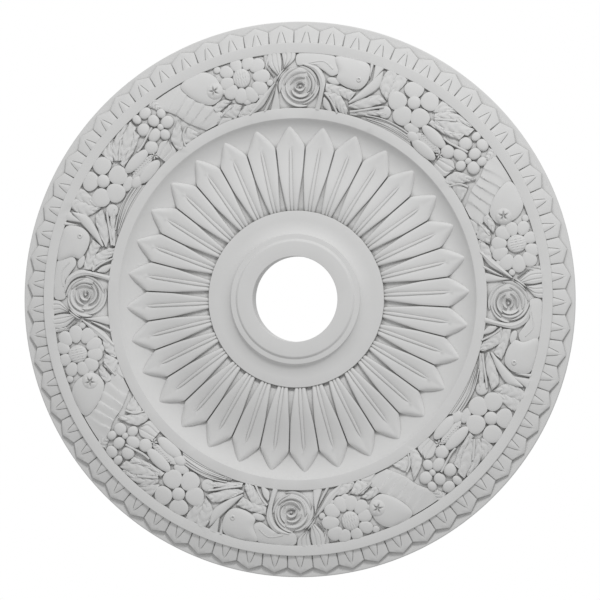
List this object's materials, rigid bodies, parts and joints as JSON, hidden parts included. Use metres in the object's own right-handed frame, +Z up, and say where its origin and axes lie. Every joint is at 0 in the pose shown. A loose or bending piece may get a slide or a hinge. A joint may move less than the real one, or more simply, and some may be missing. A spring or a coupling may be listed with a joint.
{
  "type": "ceiling rose",
  "caption": "Round ceiling medallion with a central lamp hole, a ring of pointed petals in a bowl, a frieze of fruit and flowers between fillets, and a leaf border.",
  "frame": {"origin": "on the axis of the lamp hole, in the plane of the flat back, which lies against the ceiling", "axes": "+Z up, out of the back and into the ceiling; the ornament faces -Z, into the room; -Y is the side shown at the top of the picture"},
  "size_m": [0.5998, 0.5998, 0.028],
  "materials": {
    "primed_casting": "rigid polyurethane casting with matt white primer, sprayed thin, ready to paint"
  },
  "bodies": {
    "root": {"ceiling_rose": "primed_casting"}
  },
  "joints": []
}
